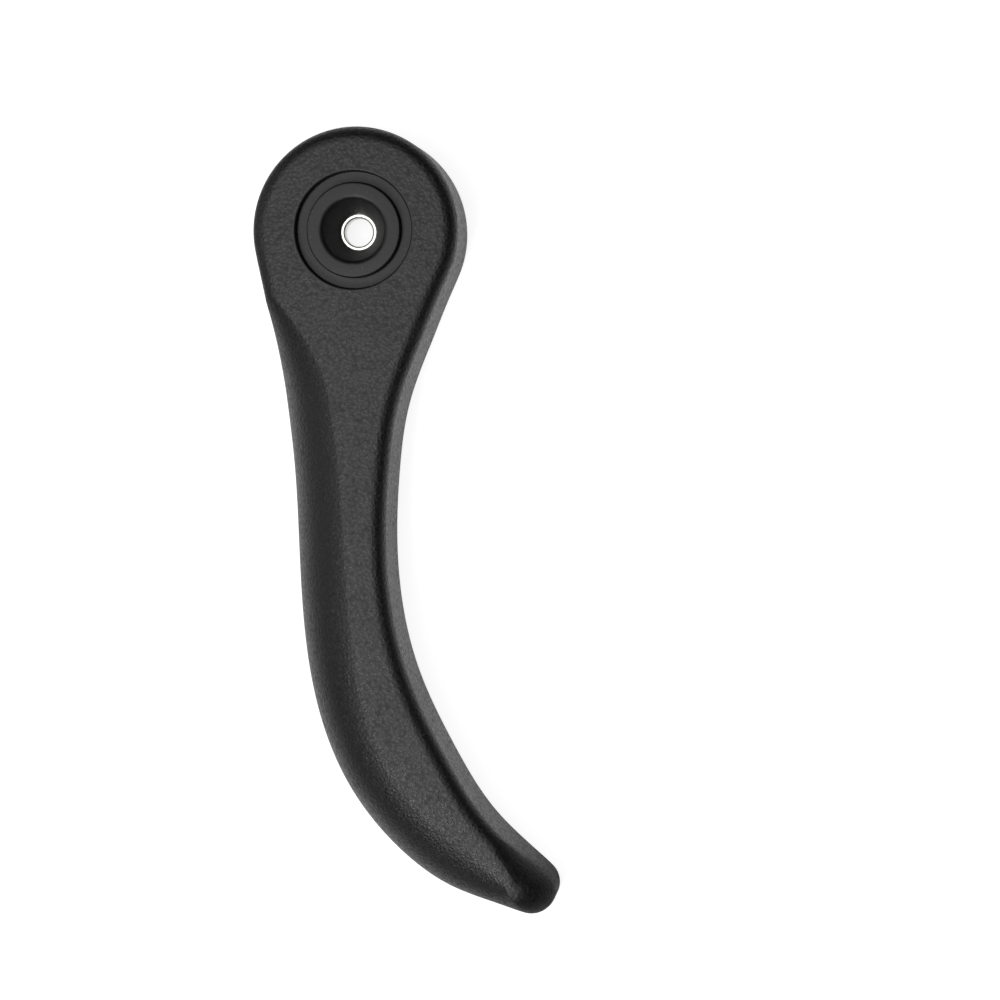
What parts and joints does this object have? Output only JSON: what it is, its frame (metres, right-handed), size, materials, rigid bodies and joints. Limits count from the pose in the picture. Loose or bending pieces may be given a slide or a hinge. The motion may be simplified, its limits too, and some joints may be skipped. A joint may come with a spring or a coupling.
{
  "type": "car seat adjuster handle",
  "caption": "Curved black moulded lever on a round hub with a deep screw recess, pulled by hand to turn a car seat's recliner shaft.",
  "frame": {"origin": "on the hub's axis, in the plane of the back rim, at the mouth of the shaft socket", "axes": "+Z along the hub's axis out of the front face, -Y from the hub down the lever, +X the way the lever's end bends"},
  "size_m": [0.0624, 0.1621, 0.016],
  "materials": {
    "moulding": "black, fine moulded grain, satin in the recess",
    "bush": "bright turned steel"
  },
  "bodies": {
    "root": {"handle_body": "moulding", "screw_bush": "bush"}
  },
  "joints": []
}
